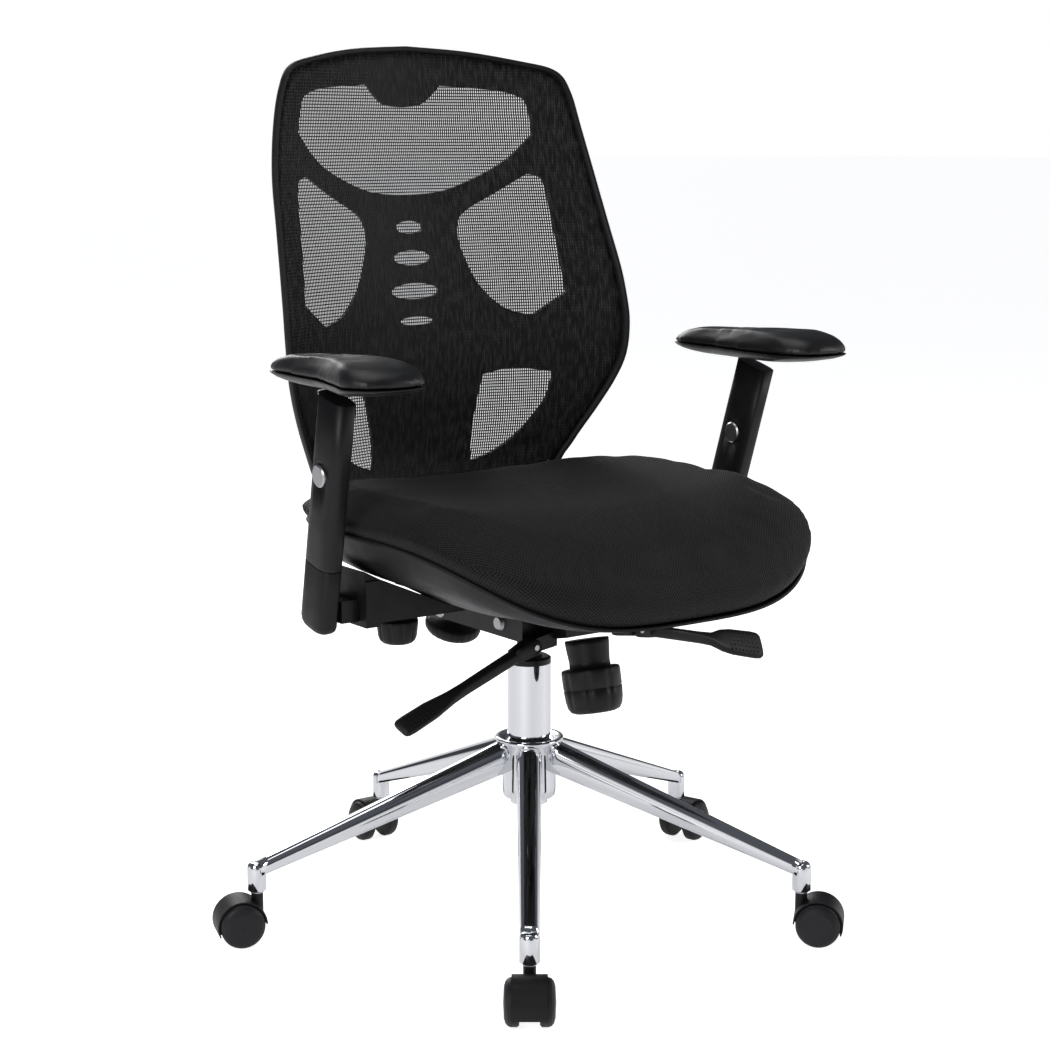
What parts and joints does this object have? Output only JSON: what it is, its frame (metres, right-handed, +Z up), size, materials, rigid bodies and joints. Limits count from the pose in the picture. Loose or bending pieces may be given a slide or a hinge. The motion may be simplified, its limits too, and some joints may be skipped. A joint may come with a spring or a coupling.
{
  "type": "swivel office chair",
  "caption": "Swivel office chair with a mesh back, a contoured padded seat, adjustable arms, a reclining mechanism and a five-star chromed base on twin-wheel casters",
  "frame": {"origin": "on the floor, on the axis of the gas lift", "axes": "+Z up, the sitter faces -Y, the sitter's left is +X"},
  "size_m": [0.7114, 0.6766, 0.9935],
  "materials": {
    "chrome": "mirror-polished, dark reflections",
    "satin_steel": "satin",
    "painted_steel": "semi-gloss black powder coat",
    "black_nylon": "fine-grained satin black",
    "wheel_grey": "satin dark grey",
    "gloss_shell": "glossy dark grey",
    "seat_mesh": "black knitted spacer mesh with fine holes",
    "back_mesh": "sheer black woven mesh",
    "pad_skin": "soft satin black skin",
    "bush_white": "natural acetal"
  },
  "bodies": {
    "base": {"star_base": "chrome", "column_tube": "chrome", "column_cap": "black_nylon", "guide_bush": "bush_white", "thrust_bearing": "satin_steel", "caster_stems": "satin_steel"},
    "spindle": {"piston_rod": "satin_steel"},
    "mechanism": {"gas_cylinder": "painted_steel", "mechanism_housing": "painted_steel", "pivot_pins": "satin_steel", "tension_spring": "satin_steel"},
    "tension_adjuster": {"tension_knob": "black_nylon"},
    "height_handle": {"height_lever": "black_nylon"},
    "tilt_handle": {"tilt_lever": "black_nylon"},
    "seat": {"seat_plate": "painted_steel", "seat_pan": "gloss_shell", "seat_cushion": "seat_mesh", "arm_housing_left": "black_nylon", "arm_housing_right": "black_nylon"},
    "back_support": {"back_bar": "painted_steel"},
    "back_clamp": {"back_knob": "black_nylon"},
    "back": {"back_carriage": "black_nylon", "back_shell": "black_nylon", "back_rim": "black_nylon", "back_mesh": "back_mesh"},
    "arm_left": {"arm_bracket_left": "painted_steel", "arm_post_left": "black_nylon"},
    "arm_top_left": {"arm_sleeve_left": "black_nylon", "arm_pad_base_left": "black_nylon", "arm_pad_left": "pad_skin"},
    "arm_release_left": {"arm_button_left": "satin_steel"},
    "arm_clamp_left": {"arm_knob_left": "black_nylon"},
    "arm_right": {"arm_bracket_right": "painted_steel", "arm_post_right": "black_nylon"},
    "arm_top_right": {"arm_sleeve_right": "black_nylon", "arm_pad_base_right": "black_nylon", "arm_pad_right": "pad_skin"},
    "arm_release_right": {"arm_button_right": "satin_steel"},
    "arm_clamp_right": {"arm_knob_right": "black_nylon"},
    "caster_1": {"caster_hood_1": "black_nylon", "caster_axle_1": "satin_steel"},
    "caster_2": {"caster_hood_2": "black_nylon", "caster_axle_2": "satin_steel"},
    "caster_3": {"caster_hood_3": "black_nylon", "caster_axle_3": "satin_steel"},
    "caster_4": {"caster_hood_4": "black_nylon", "caster_axle_4": "satin_steel"},
    "caster_5": {"caster_hood_5": "black_nylon", "caster_axle_5": "satin_steel"},
    "roller_left_1": {"wheel_left_1": "wheel_grey"},
    "roller_right_1": {"wheel_right_1": "wheel_grey"},
    "roller_left_2": {"wheel_left_2": "wheel_grey"},
    "roller_right_2": {"wheel_right_2": "wheel_grey"},
    "roller_left_3": {"wheel_left_3": "wheel_grey"},
    "roller_right_3": {"wheel_right_3": "wheel_grey"},
    "roller_left_4": {"wheel_left_4": "wheel_grey"},
    "roller_right_4": {"wheel_right_4": "wheel_grey"},
    "roller_left_5": {"wheel_left_5": "wheel_grey"},
    "roller_right_5": {"wheel_right_5": "wheel_grey"}
  },
  "joints": [
    {"name": "height_slide", "type": "slide", "parent": "spindle", "child": "mechanism", "axis": [0, 0, 1], "range_m": [0, 0.1]},
    {"name": "back_recline", "type": "hinge", "parent": "mechanism", "child": "back_support", "pos_m": [0, 0.07, 0.3555], "axis": [-1, 0, 0], "range_deg": [0, 18], "stiffness_Nm_per_rad": 60, "springref_deg": -20.05},
    {"name": "seat_tilt", "type": "hinge", "parent": "mechanism", "child": "seat", "pos_m": [0, -0.048, 0.3615], "axis": [-1, 0, 0], "range_deg": [0, 7.2]},
    {"name": "back_height", "type": "slide", "parent": "back_support", "child": "back", "axis": [0, 0, 1], "range_m": [0, 0.06]},
    {"name": "arm_width_left", "type": "slide", "parent": "seat", "child": "arm_left", "axis": [1, 0, 0], "range_m": [0, 0.03]},
    {"name": "arm_height_left", "type": "slide", "parent": "arm_left", "child": "arm_top_left", "axis": [0.0506, -0.2588, 0.9646], "range_m": [0, 0.07]},
    {"name": "arm_button_press_left", "type": "slide", "parent": "arm_top_left", "child": "arm_release_left", "axis": [0.9986, 0, -0.0523], "range_m": [0, 0.0025], "stiffness_N_per_m": 1500, "springref_m": -0.003},
    {"name": "arm_knob_turn_left", "type": "hinge", "parent": "seat", "child": "arm_clamp_left", "pos_m": [0.178, 0, 0.36], "axis": [0, 0, 1], "range_deg": [0, 360]},
    {"name": "arm_width_right", "type": "slide", "parent": "seat", "child": "arm_right", "axis": [-1, 0, 0], "range_m": [0, 0.03]},
    {"name": "arm_height_right", "type": "slide", "parent": "arm_right", "child": "arm_top_right", "axis": [-0.0506, -0.2588, 0.9646], "range_m": [0, 0.07]},
    {"name": "arm_button_press_right", "type": "slide", "parent": "arm_top_right", "child": "arm_release_right", "axis": [0.9986, 0, 0.0523], "range_m": [0, 0.0025], "stiffness_N_per_m": 1500, "springref_m": -0.003},
    {"name": "arm_knob_turn_right", "type": "hinge", "parent": "seat", "child": "arm_clamp_right", "pos_m": [-0.178, 0, 0.36], "axis": [0, 0, 1], "range_deg": [0, 360]},
    {"name": "tension_turn", "type": "hinge", "parent": "mechanism", "child": "tension_adjuster", "pos_m": [0, -0.106, 0.35011], "axis": [0, 0.2199, 0.9755], "range_deg": [0, 1080]},
    {"name": "height_lever_lift", "type": "hinge", "parent": "mechanism", "child": "height_handle", "pos_m": [-0.073, -0.104, 0.3455], "axis": [0, 1, 0], "range_deg": [0, 8], "stiffness_Nm_per_rad": 2, "springref_deg": -2.86},
    {"name": "tilt_lever_lift", "type": "hinge", "parent": "mechanism", "child": "tilt_handle", "pos_m": [0.073, -0.104, 0.3455], "axis": [0, -1, 0], "range_deg": [0, 8], "stiffness_Nm_per_rad": 2, "springref_deg": -2.86},
    {"name": "back_knob_turn", "type": "hinge", "parent": "back_support", "child": "back_clamp", "pos_m": [0, 0.142, 0.34714], "axis": [0, -0.3528, 0.9357], "range_deg": [0, 360]},
    {"name": "seat_swivel", "type": "hinge", "parent": "base", "child": "spindle", "pos_m": [0, 0, 0.2], "axis": [0, 0, 1], "continuous": true},
    {"name": "caster_swivel_1", "type": "hinge", "parent": "base", "child": "caster_1", "pos_m": [0, 0.32, 0.06], "axis": [0, 0, 1], "continuous": true},
    {"name": "caster_swivel_2", "type": "hinge", "parent": "base", "child": "caster_2", "pos_m": [-0.30434, 0.09889, 0.06], "axis": [0, 0, 1], "continuous": true},
    {"name": "caster_swivel_3", "type": "hinge", "parent": "base", "child": "caster_3", "pos_m": [-0.18809, -0.25889, 0.06], "axis": [0, 0, 1], "continuous": true},
    {"name": "caster_swivel_4", "type": "hinge", "parent": "base", "child": "caster_4", "pos_m": [0.18809, -0.25889, 0.06], "axis": [0, 0, 1], "continuous": true},
    {"name": "caster_swivel_5", "type": "hinge", "parent": "base", "child": "caster_5", "pos_m": [0.30434, 0.09889, 0.06], "axis": [0, 0, 1], "continuous": true},
    {"name": "wheel_spin_left_1", "type": "hinge", "parent": "caster_1", "child": "roller_left_1", "pos_m": [0, 0.34, 0.025], "axis": [-1, 0, 0], "continuous": true},
    {"name": "wheel_spin_right_1", "type": "hinge", "parent": "caster_1", "child": "roller_right_1", "pos_m": [0, 0.34, 0.025], "axis": [-1, 0, 0], "continuous": true},
    {"name": "wheel_spin_left_2", "type": "hinge", "parent": "caster_2", "child": "roller_left_2", "pos_m": [-0.32336, 0.10507, 0.025], "axis": [-0.309, -0.9511, 0], "continuous": true},
    {"name": "wheel_spin_right_2", "type": "hinge", "parent": "caster_2", "child": "roller_right_2", "pos_m": [-0.32336, 0.10507, 0.025], "axis": [-0.309, -0.9511, 0], "continuous": true},
    {"name": "wheel_spin_left_3", "type": "hinge", "parent": "caster_3", "child": "roller_left_3", "pos_m": [-0.19985, -0.27507, 0.025], "axis": [0.809, -0.5878, 0], "continuous": true},
    {"name": "wheel_spin_right_3", "type": "hinge", "parent": "caster_3", "child": "roller_right_3", "pos_m": [-0.19985, -0.27507, 0.025], "axis": [0.809, -0.5878, 0], "continuous": true},
    {"name": "wheel_spin_left_4", "type": "hinge", "parent": "caster_4", "child": "roller_left_4", "pos_m": [0.20198, -0.27327, 0.025], "axis": [0.7193, 0.6947, 0], "continuous": true},
    {"name": "wheel_spin_right_4", "type": "hinge", "parent": "caster_4", "child": "roller_right_4", "pos_m": [0.20198, -0.27327, 0.025], "axis": [0.7193, 0.6947, 0], "continuous": true},
    {"name": "wheel_spin_left_5", "type": "hinge", "parent": "caster_5", "child": "roller_left_5", "pos_m": [0.32336, 0.10507, 0.025], "axis": [-0.309, 0.9511, 0], "continuous": true},
    {"name": "wheel_spin_right_5", "type": "hinge", "parent": "caster_5", "child": "roller_right_5", "pos_m": [0.32336, 0.10507, 0.025], "axis": [-0.309, 0.9511, 0], "continuous": true}
  ],
  "couplings": [
    {"joint": "seat_tilt", "follows": "back_recline", "ratio": 0.4}
  ]
}
